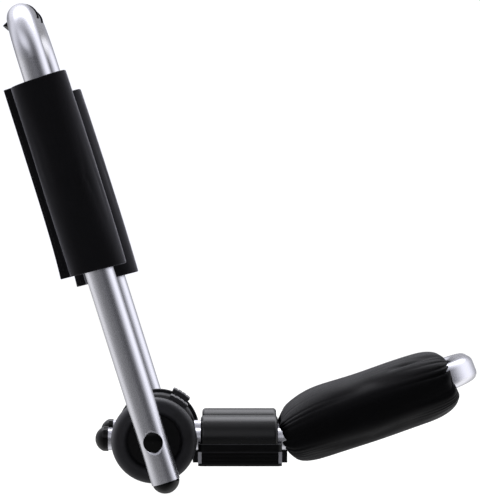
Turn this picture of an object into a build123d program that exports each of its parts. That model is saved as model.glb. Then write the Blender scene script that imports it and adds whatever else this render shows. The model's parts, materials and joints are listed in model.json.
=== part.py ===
from build123d import *
import os
from math import cos, radians, sin

# J-style kayak carrier. An upright tube loop folds down on two dials over a cushioned cradle loop,
# and a clamp block carries both on a crossbar. Sizes are in millimetres and degrees.
# Origin: middle of the seat under the clamp block. X runs along the crossbar towards the cradle,
# Y towards the far side and Z up. Paired pieces are made on the near side and mirrored.

# Clearances
running_clearance = 0.05  # radial, a pin in the bush that turns on it
seat_clearance = 0.1  # radial, a piece seated in another
slide_clearance = 0.2  # each side of a sliding block
soft_clearance = 0.3  # a cushion round its tube

# Upright loop
upright_od = 28.6
upright_wall = 2.0
leg_offset = 100.0  # mid plane to a leg's axis
upright_lean = 17.55  # away from the cradle
upright_reach = 439.5  # pivot to the axis of the top run
upright_tail = 41.0  # pivot to a leg's cut end
upright_bend = 45.0  # centreline radius of the top corners

# Cradle loop
cradle_od = 22.2
cradle_wall = 1.8
arm_offset = 58.0  # mid plane to an arm's axis
arm_height = 25.5  # seat to the arms' level axis
cradle_back = -131.0  # cut ends of the arms
cradle_bend_x = 51.0  # where the arms turn up
cradle_rise = 21.3
cradle_reach = 188.0  # bend to the axis of the tip run
cradle_bend = 50.0
cradle_tip_bend = 35.0
tip_width = 20.6  # the loop's tip is pressed taller than the round arms
tip_height = 26.0
tip_corner = 8.0
tip_neck = 16.0  # length over which an arm passes from round to pressed
tip_straight = 2.0  # neck to the tip's bend

# Tube end caps
plug_length = 14.0
upright_cap_edge = 2.0
upright_cap_dome = 9.5
cradle_cap_d = 24.4
cradle_cap_edge = 4.5
cradle_cap_dome = 8.5

# Upright pads
near_pad_start = 177.0  # pivot to the lower end
near_pad_length = 196.5
far_pad_start = 165.0
far_pad_length = 199.0
far_pad_shift = 1.0  # the far pad sits further towards the cradle
pad_front = 29.0  # leg axis to the edge towards the cradle
pad_back = 29.5
pad_half_depth = 20.5
pad_corner = 17.0
pad_seam_reach = 36.0
pad_seam_thickness = 5.0

# Cradle cushion
cushion_start = -4.5  # from the bend, along the cushion
cushion_length = 177.5
cushion_droop = 2.9  # how much less it rises than the arms
cushion_above = 38.0  # bend to its top
cushion_below = 30.5
cushion_half_width = 76.0
cushion_corner = 25.0
cushion_end_round = 12.0

# Strap keeper on the top run
keeper_thickness = 1.4
keeper_band_width = 6.0
keeper_band_offset = 30.0
keeper_ridge_reach = 21.5  # top run's axis to the tip of the ridge
keeper_ridge_half = 3.6
keeper_eye_wall = 1.2
keeper_lip_angle = 12.5  # where a band ends, below the leg's front
keeper_root_angle = 20.0  # where a band ends, below the ridge

# Pivot and hinge dial
pivot_x = -85.0
dial_d = 85.0
saddle_depth = 2.3  # how far the legs sink into the dials
dial_thickness = 13.0
dial_rim_width = 13.5
dial_rim_round = 8.0
dial_rim_inner_round = 6.0
dial_dish_depth = 5.0
dial_dish_slope = 3.0
dial_dish_round = 3.0
dial_boss_d = 26.0
dial_edge_round = 1.0
fold_angle = 107.0

# Pivot bolt, bush, washer, nut and cap
bolt_d = 8.0
bolt_head_d = 13.0
bolt_head_edge = 2.0
bolt_head_height = 5.0
bolt_socket = 5.0  # across flats
bolt_socket_depth = 3.0
bush_od = 11.0
bush_flange_d = 24.0
bush_flange = 0.5
washer_d = 16.0
washer_height = 4.4  # at its middle, over the leg's bore
nut_flats = 13.0
nut_height = 6.5
nut_pocket_depth = 7.0
pivot_cap_d = 19.2
pivot_cap_wall = 1.5
pivot_cap_dome = 1.0
pivot_cap_recess = 3.0  # below the crown of the leg
pivot_countersink = 2.6
countersink_taper = 45.0
pivot_cap_skirt = 18.5

# Hub, release button and spring
hub_d = 78.0
hub_inner_d = 54.0
hub_inner_face = 38.0  # mid plane to the inner face
hub_taper = 10.0
hub_edge_round = 1.5
button_angle = 32.5  # from vertical, towards the cradle
button_span = 25.0
button_d = 95.0
button_cap_thickness = 4.5
button_cap_width = 24.0
button_stem_width = 12.0
button_stem_depth = 20.0
button_stem_foot = 29.0  # pivot axis to the stem's inner end
button_travel = 3.0
button_edge_round = 1.2
button_ridge_count = 3
button_ridge_width = 1.6
button_ridge_depth = 0.6
pawl_width = 7.0
pawl_height = 4.1
pawl_reach = 4.0  # into the dial's ring
ring_tip_clearance = 0.4
ring_inner_d = 46.0
ring_notch_depth = 3.0
spring_length = 8.0
spring_d = 7.0
spring_wire = 1.0
spring_turns = 2.5

# Clamp block
clamp_half_length = 41.5
top_setback_left = 2.5  # base's end to the top's end
top_setback_right = 4.0
hump_r = 23.5
web_rise = 16.5  # arms' axis to the top of the web between the humps
parting_drop = 3.5  # arms' axis to the parting face
clamp_edge_round = 3.5
base_corner = 6.0
rib_count = 3
rib_height = 1.6
rib_pitch = 3.6
rib_depth = 1.0
seat_thickness = 2.5
seat_corner = 5.0
seat_lip_drop = 12.0  # arms' axis to the top of a lip
seat_lip_thickness = 6.0
seat_lip_half_width = 35.0
seat_lip_round = 2.0
plate_thickness = 3.5
plate_drop = 11.5  # arms' axis to the top of a plate
plate_inset = 2.0
crossbar_bolt_x = 25.0
crossbar_bolt_y = 36.0
crossbar_hole_d = 8.5
clamp_screw_x = 27.0
clamp_screw_y = 14.0
clamp_screw_d = 6.0
screw_head_d = 10.0
screw_head_height = 6.0
screw_head_recess = 7.0
screw_socket = 5.0
screw_socket_depth = 3.0
clamp_nut_flats = 10.0
clamp_nut_height = 5.0
clamp_nut_pocket = 6.0

# Derived places
near, far = -1, 1
upright_r = upright_od / 2
upright_bore_r = upright_r - upright_wall
cradle_r = cradle_od / 2
cradle_bore_r = cradle_r - cradle_wall
leg_inner_face = leg_offset - upright_r
dial_front = leg_inner_face + saddle_depth
dial_back = dial_front - dial_thickness
hub_face = dial_back - bush_flange
bush_end = leg_inner_face + upright_wall
washer_top = bush_end + washer_height
bolt_r = bolt_d / 2
pawl_foot = button_stem_foot
ring_r = pawl_foot + pawl_height + ring_tip_clearance
ring_depth = pawl_reach + 2 * ring_tip_clearance
clamp_web_top = arm_height + web_rise
clamp_parting = arm_height - parting_drop
seat_lip_top = arm_height - seat_lip_drop
plate_top = arm_height - plate_drop
button_stem_outer = arm_offset + button_stem_depth / 2
button_polar = 90 - button_angle
spring_seat = button_stem_foot - spring_length

# Directions along and across a leg, along the risen part of a cradle arm and along the cushion
leg_up = Vector(-sin(radians(upright_lean)), 0, cos(radians(upright_lean)))
leg_front = Vector(cos(radians(upright_lean)), 0, sin(radians(upright_lean)))
arm_out = Vector(cos(radians(cradle_rise)), 0, sin(radians(cradle_rise)))
cushion_rise = cradle_rise - cushion_droop
cushion_out = Vector(cos(radians(cushion_rise)), 0, sin(radians(cushion_rise)))
pivot = Vector(pivot_x, 0, arm_height)
cradle_corner = Vector(cradle_bend_x, 0, arm_height)
pivot_axis = Axis(pivot, (0, 1, 0))

# The upright loop's own plane, and the plane through the pivot axis that turned pieces are drawn on:
# x is the radius there and y the distance from the mid plane on the near side
upright_plane = Plane(origin=pivot, x_dir=(0, 1, 0), z_dir=leg_front)
turned_plane = Plane(origin=pivot, x_dir=(1, 0, 0), z_dir=(0, 0, -1))


def leg_plane(side, height):
    """Plane across a leg: x towards the cradle, y towards the far side."""
    origin = pivot + leg_up * height + Vector(0, side * leg_offset, 0)
    return Plane(origin=origin, x_dir=leg_front, z_dir=leg_up)


def hinge_plane(distance, tilt=0.0):
    """Plane square to the pivot axis on the near side, seen from outside, turned clockwise by tilt."""
    origin = pivot - Vector(0, distance, 0)
    x_dir = (cos(radians(tilt)), 0, -sin(radians(tilt)))
    return Plane(origin=origin, x_dir=x_dir, z_dir=(0, -1, 0))


def save(part, name):
    part.label = name
    export_step(part, f"parts/{name}.step")


def save_pair(part, name):
    """Save a near-side piece and its mirror image on the far side."""
    save(part, f"{name}_near")
    with BuildPart() as far_piece:
        mirror(part, about=Plane.XZ)
    save(far_piece.part, f"{name}_far")


def cradle_form(grow):
    """Solid of the cradle loop, widened all round by grow: round arms, a neck on each and the pressed tip."""
    arm_end = cradle_reach - cradle_tip_bend - tip_straight - tip_neck
    near_arm = Vector(0, -arm_offset, 0)
    far_arm = Vector(0, arm_offset, 0)
    neck_start = cradle_corner + arm_out * arm_end
    neck_end = neck_start + arm_out * tip_neck
    tip = cradle_corner + arm_out * cradle_reach
    back_plane = Plane(origin=(cradle_back, -arm_offset, arm_height), z_dir=(1, 0, 0))
    neck_plane = Plane(origin=neck_start + near_arm, x_dir=(0, 1, 0), z_dir=arm_out)
    with BuildPart() as form:
        with BuildLine() as arm_path:
            FilletPolyline(back_plane.origin, cradle_corner + near_arm, neck_start + near_arm, radius=cradle_bend)
        with BuildSketch(back_plane):
            Circle(cradle_r + grow)
        sweep(path=arm_path.wires()[0])
        with BuildSketch(neck_plane):
            Circle(cradle_r + grow)
        with BuildSketch(neck_plane.offset(tip_neck)) as pressed:
            RectangleRounded(tip_width + 2 * grow, tip_height + 2 * grow, tip_corner + grow)
        loft()
        mirror(about=Plane.XZ)
        with BuildLine() as tip_path:
            FilletPolyline(neck_end + near_arm, tip + near_arm, tip + far_arm, neck_end + far_arm,
                           radius=cradle_tip_bend)
        sweep(pressed.sketch, path=tip_path.wires()[0])
    return form.part


def domed_plug(plane, bore_r, flange_r, edge, dome):
    """Tube plug with a domed head. The plane's x is the radius and its y points out of the tube."""
    with BuildPart() as plug:
        with BuildSketch(plane):
            with BuildLine():
                Polyline(
                    (0, -plug_length),
                    (bore_r - seat_clearance, -plug_length),
                    (bore_r - seat_clearance, 0),
                    (flange_r, 0),
                    (flange_r, edge),
                )
                TangentArc((0, edge + dome), (flange_r, edge), tangent=(1, 0))
                Line((0, edge + dome), (0, -plug_length))
            make_face()
        revolve(axis=Axis(plane.origin, plane.y_dir))
    return plug.part


os.makedirs("parts", exist_ok=True)

# Upright loop: bent tube with a bush hole through each inner wall and a bolt hole through each outer wall
with BuildPart() as upright_loop:
    with BuildLine(upright_plane) as upright_path:
        FilletPolyline(
            (-leg_offset, -upright_tail),
            (-leg_offset, upright_reach),
            (leg_offset, upright_reach),
            (leg_offset, -upright_tail),
            radius=upright_bend,
        )
    with BuildSketch(leg_plane(near, -upright_tail)):
        Circle(upright_r)
        Circle(upright_bore_r, mode=Mode.SUBTRACT)
    sweep(path=upright_path.wires()[0])
    for side in (near, far):
        outward = Plane(origin=pivot, x_dir=(1, 0, 0), z_dir=(0, side, 0))
        with BuildSketch(outward):
            Circle(bush_od / 2 + seat_clearance)
        extrude(amount=leg_offset, mode=Mode.SUBTRACT)
        with BuildSketch(outward.offset(leg_offset)):
            Circle(pivot_cap_d / 2 + seat_clearance)
        extrude(amount=upright_od, mode=Mode.SUBTRACT)
        with BuildSketch(outward.offset(leg_offset + upright_r - pivot_countersink)):
            Circle(pivot_cap_d / 2 + seat_clearance)
        extrude(amount=pivot_countersink, taper=-countersink_taper, mode=Mode.SUBTRACT)
save(upright_loop.part, "upright_loop")

# Upright end caps
leg_end = leg_plane(near, -upright_tail).origin
upright_cap = domed_plug(
    Plane(origin=leg_end, x_dir=leg_front, z_dir=(0, 1, 0)),
    upright_bore_r,
    upright_r - upright_wall / 2,
    upright_cap_edge,
    upright_cap_dome,
)
save_pair(upright_cap, "upright_end_cap")


def upright_pad(side, start, length, shift):
    """Foam sleeve round a leg, with a flat closure seam along its back edge."""
    with BuildPart() as pad:
        with BuildSketch(leg_plane(side, start)):
            with Locations(((pad_front - pad_back) / 2 + shift, 0)):
                RectangleRounded(pad_front + pad_back, 2 * pad_half_depth, pad_corner)
            with Locations((shift - pad_seam_reach / 2, 0)):
                Rectangle(pad_seam_reach, pad_seam_thickness)
            Circle(upright_r + soft_clearance, mode=Mode.SUBTRACT)
        extrude(amount=length)
    return pad.part


save(upright_pad(near, near_pad_start, near_pad_length, 0), "upright_pad_near")
save(upright_pad(far, far_pad_start, far_pad_length, far_pad_shift), "upright_pad_far")

# Strap keeper: two thin bands clipped over the top run and a hollow pointed ridge between them
keeper_inner_r = upright_r + seat_clearance
keeper_outer_r = keeper_inner_r + keeper_thickness
keeper_reach = 2 * keeper_outer_r
keeper_half_length = keeper_band_offset + keeper_band_width / 2
keeper_origin = pivot + leg_up * upright_reach - Vector(0, keeper_half_length, 0)
keeper_plane = Plane(origin=keeper_origin, x_dir=-leg_front, z_dir=(0, 1, 0))
with BuildPart() as strap_keeper:
    for start in (0, 2 * keeper_band_offset):
        with BuildSketch(keeper_plane.offset(start)):
            Circle(keeper_outer_r)
        extrude(amount=keeper_band_width)
    with BuildSketch(keeper_plane):
        Polygon(
            (0, 0),
            (-keeper_reach * cos(radians(keeper_lip_angle)), -keeper_reach * sin(radians(keeper_lip_angle))),
            (-keeper_reach, -keeper_reach),
            (keeper_reach, -keeper_reach),
            (keeper_reach * cos(radians(keeper_root_angle)), -keeper_reach * sin(radians(keeper_root_angle))),
            align=None,
        )
    extrude(amount=2 * keeper_half_length, mode=Mode.SUBTRACT)
    with BuildSketch(keeper_plane):
        Polygon((0, keeper_ridge_half), (keeper_inner_r, keeper_ridge_half), (keeper_ridge_reach, 0),
                (keeper_inner_r, -keeper_ridge_half), (0, -keeper_ridge_half), align=None)
    extrude(amount=2 * keeper_half_length)
    with BuildSketch(keeper_plane):
        eye_back = keeper_outer_r
        eye_tip = keeper_ridge_reach - 2 * keeper_eye_wall
        eye_half = (eye_tip - eye_back) * keeper_ridge_half / (keeper_ridge_reach - keeper_inner_r)
        Polygon((eye_back, eye_half), (eye_tip, 0), (eye_back, -eye_half), align=None)
        Circle(keeper_inner_r)
    extrude(amount=2 * keeper_half_length, mode=Mode.SUBTRACT)
save(strap_keeper.part, "strap_keeper")

# Hinge dials: dished discs with a saddle for the leg in front and a notched lock ring behind
dial_r = dial_d / 2
rim_inner_r = dial_r - dial_rim_width
dish_floor = dial_front - dial_dish_depth
bush_seat_r = bush_od / 2 + seat_clearance
with BuildPart() as hinge_dial:
    with BuildSketch(turned_plane):
        with BuildLine():
            FilletPolyline(
                (bush_seat_r, dial_back),
                (dial_r, dial_back),
                (dial_r, dial_front),
                (rim_inner_r, dial_front),
                (rim_inner_r - dial_dish_slope, dish_floor),
                (dial_boss_d / 2, dish_floor),
                (dial_boss_d / 2, dial_front),
                (bush_seat_r, dial_front),
                radius=[0, dial_edge_round, dial_rim_round, dial_rim_inner_round, dial_dish_round,
                        dial_edge_round, 0, 0],
                close=True,
            )
        make_face()
    revolve(axis=pivot_axis)
    with BuildSketch(hinge_plane(dial_back)):
        Circle(ring_r)
        Circle(ring_inner_d / 2, mode=Mode.SUBTRACT)
        with PolarLocations(ring_r, 2, start_angle=button_polar, angular_range=fold_angle, endpoint=True):
            Rectangle(2 * ring_notch_depth, pawl_width + 2 * ring_tip_clearance)
    extrude(amount=ring_depth, mode=Mode.SUBTRACT)
    with BuildSketch(leg_plane(near, -dial_d)):
        Circle(upright_r + seat_clearance)
    extrude(amount=2 * dial_d, mode=Mode.SUBTRACT)
save_pair(hinge_dial.part, "hinge_dial")

# Dial bushes: the sleeve ties leg and dial together, the flange is the thrust face on the hub
with BuildPart() as dial_bush:
    with BuildSketch(turned_plane):
        with BuildLine():
            Polyline(
                (bolt_r + running_clearance, hub_face),
                (bush_flange_d / 2, hub_face),
                (bush_flange_d / 2, dial_back),
                (bush_od / 2, dial_back),
                (bush_od / 2, bush_end),
                (bolt_r + running_clearance, bush_end),
                close=True,
            )
        make_face()
    revolve(axis=pivot_axis)
save_pair(dial_bush.part, "dial_bush")

# Pivot washers: flat for the bolt head, curved to lie in the leg's bore
with BuildPart() as pivot_washer:
    with BuildSketch(hinge_plane(leg_inner_face)):
        Circle(washer_d / 2)
        Circle(bolt_r + running_clearance, mode=Mode.SUBTRACT)
    extrude(amount=washer_top - leg_inner_face)
    with BuildSketch(leg_plane(near, -washer_d)):
        Circle(upright_bore_r - seat_clearance)
    extrude(amount=2 * washer_d, mode=Mode.INTERSECT)
save_pair(pivot_washer.part, "pivot_washer")

# Pivot bolts: button heads inside the legs, shanks through bush, hub and cradle tube
bolt_end = hub_inner_face
with BuildPart() as pivot_bolt:
    with BuildSketch(turned_plane):
        with BuildLine():
            Polyline(
                (0, bolt_end),
                (bolt_r, bolt_end),
                (bolt_r, washer_top),
                (bolt_head_d / 2, washer_top),
                (bolt_head_d / 2, washer_top + bolt_head_edge),
            )
            TangentArc(
                (0, washer_top + bolt_head_height),
                (bolt_head_d / 2, washer_top + bolt_head_edge),
                tangent=(1, 0),
            )
            Line((0, washer_top + bolt_head_height), (0, bolt_end))
        make_face()
    revolve(axis=pivot_axis)
    with BuildSketch(hinge_plane(washer_top + bolt_head_height - bolt_socket_depth)):
        RegularPolygon(bolt_socket / 2, 6, major_radius=False)
    extrude(amount=bolt_socket_depth, mode=Mode.SUBTRACT)
save_pair(pivot_bolt.part, "pivot_bolt")

# Pivot nuts in the hubs' hexagon pockets
nut_start = hub_inner_face + nut_pocket_depth - nut_height
with BuildPart() as pivot_nut:
    with BuildSketch(hinge_plane(nut_start)):
        RegularPolygon(nut_flats / 2, 6, major_radius=False)
        Circle(bolt_r + seat_clearance, mode=Mode.SUBTRACT)
    extrude(amount=nut_height)
save_pair(pivot_nut.part, "pivot_nut")

# Pivot caps: cups that close the bolt holes, set below the crown of the leg
cap_face = leg_offset + upright_r - pivot_cap_recess
cap_rim_r = pivot_cap_d / 2
cap_foot = cap_face - pivot_cap_skirt
cap_ceiling = cap_face - pivot_cap_dome - pivot_cap_wall
with BuildPart() as pivot_cap:
    with BuildSketch(turned_plane):
        with BuildLine():
            Polyline(
                (0, cap_ceiling),
                (cap_rim_r - pivot_cap_wall, cap_ceiling),
                (cap_rim_r - pivot_cap_wall, cap_foot),
                (cap_rim_r, cap_foot),
                (cap_rim_r, cap_face - pivot_cap_dome),
            )
            TangentArc((0, cap_face), (cap_rim_r, cap_face - pivot_cap_dome), tangent=(1, 0))
            Line((0, cap_face), (0, cap_ceiling))
        make_face()
    revolve(axis=pivot_axis)
save_pair(pivot_cap.part, "pivot_cap")

# Hinge hubs: fixed drums round the cradle arms, open at the rim for the release buttons
hub_r = hub_d / 2
channel_width = button_stem_width + 2 * slide_clearance
channel_inner = arm_offset - button_stem_depth / 2 - slide_clearance
channel_depth = button_stem_depth + 2 * slide_clearance
pawl_slot_foot = pawl_foot - button_travel - ring_tip_clearance
with BuildPart() as hinge_hub:
    with BuildSketch(turned_plane):
        with BuildLine():
            FilletPolyline(
                (bolt_r + seat_clearance, hub_inner_face),
                (hub_inner_d / 2, hub_inner_face),
                (hub_r, hub_inner_face + hub_taper),
                (hub_r, hub_face),
                (bolt_r + seat_clearance, hub_face),
                radius=[0, hub_edge_round, hub_taper / 2, hub_edge_round, 0],
                close=True,
            )
        make_face()
    revolve(axis=pivot_axis)
    with BuildSketch(Plane(origin=(pivot_x - hub_d, -arm_offset, arm_height), z_dir=(1, 0, 0))):
        Circle(cradle_r + seat_clearance)
    extrude(amount=2 * hub_d, mode=Mode.SUBTRACT)
    with BuildSketch(hinge_plane(hub_inner_face)):
        RegularPolygon(nut_flats / 2 + seat_clearance, 6, major_radius=False)
    extrude(amount=nut_pocket_depth, mode=Mode.SUBTRACT)
    with BuildSketch(hinge_plane(channel_inner, button_angle)):
        with Locations((0, spring_seat)):
            Rectangle(channel_width, hub_d, align=(Align.CENTER, Align.MIN))
    extrude(amount=channel_depth, mode=Mode.SUBTRACT)
    with BuildSketch(hinge_plane(arm_offset, button_angle)):
        with Locations((0, pawl_slot_foot)):
            Rectangle(pawl_width + 2 * slide_clearance, hub_d, align=(Align.CENTER, Align.MIN))
    extrude(amount=hub_face - arm_offset, mode=Mode.SUBTRACT)
save_pair(hinge_hub.part, "hinge_hub")

# Release buttons: curved thumb blocks on stems, each with a pawl that reaches into the dial's ring
button_r = button_d / 2
button_inner_r = button_r - button_cap_thickness
with BuildPart() as release_button:
    with BuildSketch(hinge_plane(arm_offset - button_cap_width / 2, button_angle)):
        with BuildLine():
            outer_arc = CenterArc((0, 0), button_r, 90 - button_span / 2, button_span)
            inner_arc = CenterArc((0, 0), button_inner_r, 90 - button_span / 2, button_span)
            Line(outer_arc @ 0, inner_arc @ 0)
            Line(outer_arc @ 1, inner_arc @ 1)
        make_face()
    extrude(amount=button_cap_width)
    rim_faces = release_button.faces().filter_by(GeomType.CYLINDER).sort_by(SortBy.AREA)
    fillet(rim_faces[-1].edges(), button_edge_round)
    with BuildSketch(hinge_plane(arm_offset - button_cap_width / 2, button_angle)):
        with PolarLocations(button_r, button_ridge_count, start_angle=90 - button_span / 4,
                            angular_range=button_span / 2, endpoint=True):
            Rectangle(2 * button_ridge_depth, button_ridge_width)
    extrude(amount=button_cap_width, mode=Mode.SUBTRACT)
    with BuildSketch(hinge_plane(arm_offset - button_stem_depth / 2, button_angle)):
        with Locations((0, button_stem_foot)):
            Rectangle(button_stem_width, button_inner_r + button_cap_thickness / 2 - button_stem_foot,
                      align=(Align.CENTER, Align.MIN))
    extrude(amount=button_stem_depth)
    with BuildSketch(hinge_plane(button_stem_outer, button_angle)):
        with Locations((0, pawl_foot)):
            Rectangle(pawl_width, pawl_height, align=(Align.CENTER, Align.MIN))
    extrude(amount=dial_back + pawl_reach - button_stem_outer)
save_pair(release_button.part, "release_button")

# Button springs: coils between the hub and the stem's foot
button_out = Vector(sin(radians(button_angle)), 0, cos(radians(button_angle)))
spring_foot = pivot + button_out * (spring_seat + spring_wire / 2) - Vector(0, arm_offset, 0)
coil_height = spring_length - spring_wire
with BuildPart() as button_spring:
    with BuildLine() as coil:
        Helix(coil_height / spring_turns, coil_height, (spring_d - spring_wire) / 2,
              center=spring_foot, direction=button_out)
    with BuildSketch(Plane(origin=coil.line @ 0, z_dir=coil.line % 0)):
        Circle(spring_wire / 2)
    sweep(path=coil.wires()[0], is_frenet=True)
save_pair(button_spring.part, "button_spring")

# Cradle loop: bent tube, drilled for the pivot bolts
with BuildPart() as cradle_loop:
    add(cradle_form(0))
    add(cradle_form(-cradle_wall), mode=Mode.SUBTRACT)
    with BuildSketch(Plane(origin=pivot, x_dir=(1, 0, 0), z_dir=(0, 1, 0))):
        Circle(bolt_r + seat_clearance)
    extrude(amount=leg_offset, both=True, mode=Mode.SUBTRACT)
save(cradle_loop.part, "cradle_loop")

# Cradle end caps
cradle_cap = domed_plug(
    Plane(origin=(cradle_back, -arm_offset, arm_height), x_dir=(0, 0, 1), z_dir=(0, -1, 0)),
    cradle_bore_r,
    cradle_cap_d / 2,
    cradle_cap_edge,
    cradle_cap_dome,
)
save_pair(cradle_cap, "cradle_end_cap")

# Cradle cushion: one soft block round both arms
cushion_plane = Plane(origin=cradle_corner + cushion_out * cushion_start, x_dir=(0, 1, 0), z_dir=cushion_out)
with BuildPart() as cradle_pad:
    with BuildSketch(cushion_plane):
        with Locations((0, (cushion_above - cushion_below) / 2)):
            RectangleRounded(2 * cushion_half_width, cushion_above + cushion_below, cushion_corner)
    extrude(amount=cushion_length)
    end_faces = cradle_pad.faces().filter_by(GeomType.PLANE).sort_by(Axis(cradle_corner, cushion_out))
    fillet([*end_faces[0].edges(), *end_faces[-1].edges()], cushion_end_round)
    add(cradle_form(soft_clearance), mode=Mode.SUBTRACT)
save(cradle_pad.part, "cradle_pad")


# Clamp block sections are drawn across X: x towards the far side, y up
clamp_plane = Plane(origin=(-clamp_half_length, 0, 0), x_dir=(0, 1, 0), z_dir=(1, 0, 0))
clamp_length = 2 * clamp_half_length
screw_spots = GridLocations(2 * clamp_screw_x, 2 * clamp_screw_y, 2, 2)
crossbar_spots = GridLocations(2 * crossbar_bolt_x, 2 * crossbar_bolt_y, 2, 2)
arm_spots = [(-arm_offset, arm_height), (arm_offset, arm_height)]
base_half_width = arm_offset + hump_r


def drill(spots, diameter, bottom, top):
    """Upright holes at the given spots of the part in hand, between two heights."""
    with BuildSketch(Plane.XY.offset(bottom)) as holes:
        with spots:
            Circle(diameter / 2)
    extrude(holes.sketch, amount=top - bottom, mode=Mode.SUBTRACT)


# Clamp top: two humps over the arms and a web between them
with BuildPart() as clamp_top:
    with BuildSketch(clamp_plane.offset(top_setback_left)):
        with Locations(*arm_spots):
            Circle(hump_r)
        with Locations((0, clamp_web_top)):
            Rectangle(2 * arm_offset, clamp_web_top, align=(Align.CENTER, Align.MAX))
        with Locations((0, clamp_parting)):
            Rectangle(4 * arm_offset, 2 * hump_r, align=(Align.CENTER, Align.MAX), mode=Mode.SUBTRACT)
    extrude(amount=clamp_length - top_setback_left - top_setback_right)
    end_faces = clamp_top.faces().filter_by(Axis.X)
    parting_edges = clamp_top.edges().group_by(Axis.Z)[0]
    fillet([edge for edge in end_faces.edges() if edge not in parting_edges], clamp_edge_round)
    with BuildSketch(clamp_plane):
        with Locations(*arm_spots):
            Circle(cradle_r + seat_clearance)
    extrude(amount=clamp_length, mode=Mode.SUBTRACT)
    drill(crossbar_spots, crossbar_hole_d, clamp_parting, clamp_web_top)
    drill(screw_spots, clamp_screw_d + 2 * seat_clearance, clamp_parting, clamp_web_top)
    drill(screw_spots, screw_head_d + 2 * seat_clearance, clamp_web_top - screw_head_recess, clamp_web_top)
save(clamp_top.part, "clamp_top")

# Clamp base: grooved along its long sides, stepped at its ends for the metal plates
plate_inner_x = clamp_half_length - plate_thickness
with BuildPart() as clamp_base:
    with BuildSketch(Plane.XY.offset(seat_thickness)):
        RectangleRounded(clamp_length, 2 * base_half_width, base_corner)
    extrude(amount=clamp_parting - seat_thickness)
    with BuildSketch(clamp_plane):
        with Locations(*arm_spots):
            Circle(cradle_r + seat_clearance)
        with Locations((0, (seat_thickness + plate_top) / 2)):
            with GridLocations(2 * base_half_width, rib_pitch, 2, rib_count):
                Rectangle(2 * rib_depth, rib_height)
    extrude(amount=clamp_length, mode=Mode.SUBTRACT)
    with BuildSketch(Plane.XY.offset(seat_thickness)):
        with GridLocations(clamp_length, 0, 2, 1):
            Rectangle(2 * plate_thickness, 2 * base_half_width)
    extrude(amount=plate_top - seat_thickness, mode=Mode.SUBTRACT)
    drill(crossbar_spots, crossbar_hole_d, seat_thickness, clamp_parting)
    drill(screw_spots, clamp_screw_d + 2 * seat_clearance, seat_thickness, clamp_parting)
    with BuildSketch(Plane.XY.offset(seat_thickness)):
        with screw_spots:
            RegularPolygon(clamp_nut_flats / 2 + seat_clearance, 6, major_radius=False)
    extrude(amount=clamp_nut_pocket, mode=Mode.SUBTRACT)
save(clamp_base.part, "clamp_base")


def end_plate(side):
    """Metal plate set into one end of the base."""
    with BuildPart() as plate:
        with BuildSketch(Plane(origin=(side * plate_inner_x, 0, 0), x_dir=(0, side, 0), z_dir=(side, 0, 0))):
            with Locations((0, seat_thickness)):
                Rectangle(2 * (base_half_width - plate_inset), plate_top - seat_thickness,
                          align=(Align.CENTER, Align.MIN))
        extrude(amount=plate_thickness)
    return plate.part


save(end_plate(-1), "end_plate_left")
save(end_plate(1), "end_plate_right")

# Seat pad: rubber tray under the base, turned up over the end plates
seat_length = clamp_length + 2 * seat_lip_thickness
with BuildPart() as seat_pad:
    with BuildSketch():
        RectangleRounded(seat_length, 2 * seat_lip_half_width, seat_lip_round)
    extrude(amount=seat_lip_top)
    with BuildSketch(Plane.XY.offset(seat_thickness)):
        Rectangle(clamp_length, 2 * seat_lip_half_width)
    extrude(amount=seat_lip_top, mode=Mode.SUBTRACT)
    with BuildSketch():
        RectangleRounded(clamp_length, 2 * base_half_width, seat_corner)
    extrude(amount=seat_thickness)
    drill(crossbar_spots, crossbar_hole_d, 0, seat_thickness)
save(seat_pad.part, "seat_pad")

# Clamp screws and nuts, numbered along X, then Y
screw_head_top = clamp_web_top - screw_head_recess + screw_head_height
clamp_nut_bottom = seat_thickness + clamp_nut_pocket - clamp_nut_height
for number, spot in enumerate(screw_spots.locations, start=1):
    with BuildPart() as clamp_screw:
        with BuildSketch(Plane.XY.offset(screw_head_top - screw_head_height)):
            with Locations(spot):
                Circle(screw_head_d / 2)
        extrude(amount=screw_head_height)
        with BuildSketch(Plane.XY.offset(screw_head_top - screw_socket_depth)):
            with Locations(spot):
                RegularPolygon(screw_socket / 2, 6, major_radius=False)
        extrude(amount=screw_socket_depth, mode=Mode.SUBTRACT)
        with BuildSketch(Plane.XY.offset(clamp_nut_bottom)):
            with Locations(spot):
                Circle(clamp_screw_d / 2)
        extrude(amount=screw_head_top - screw_head_height - clamp_nut_bottom)
    save(clamp_screw.part, f"clamp_screw_{number}")
    with BuildPart() as clamp_nut:
        with BuildSketch(Plane.XY.offset(clamp_nut_bottom)):
            with Locations(spot):
                RegularPolygon(clamp_nut_flats / 2, 6, major_radius=False)
                Circle(clamp_screw_d / 2 + seat_clearance, mode=Mode.SUBTRACT)
        extrude(amount=clamp_nut_height)
    save(clamp_nut.part, f"clamp_nut_{number}")
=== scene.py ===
"""Looks of a folding J-style kayak carrier: satin tubes, moulded hinges, soft pads and a stage."""

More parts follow.
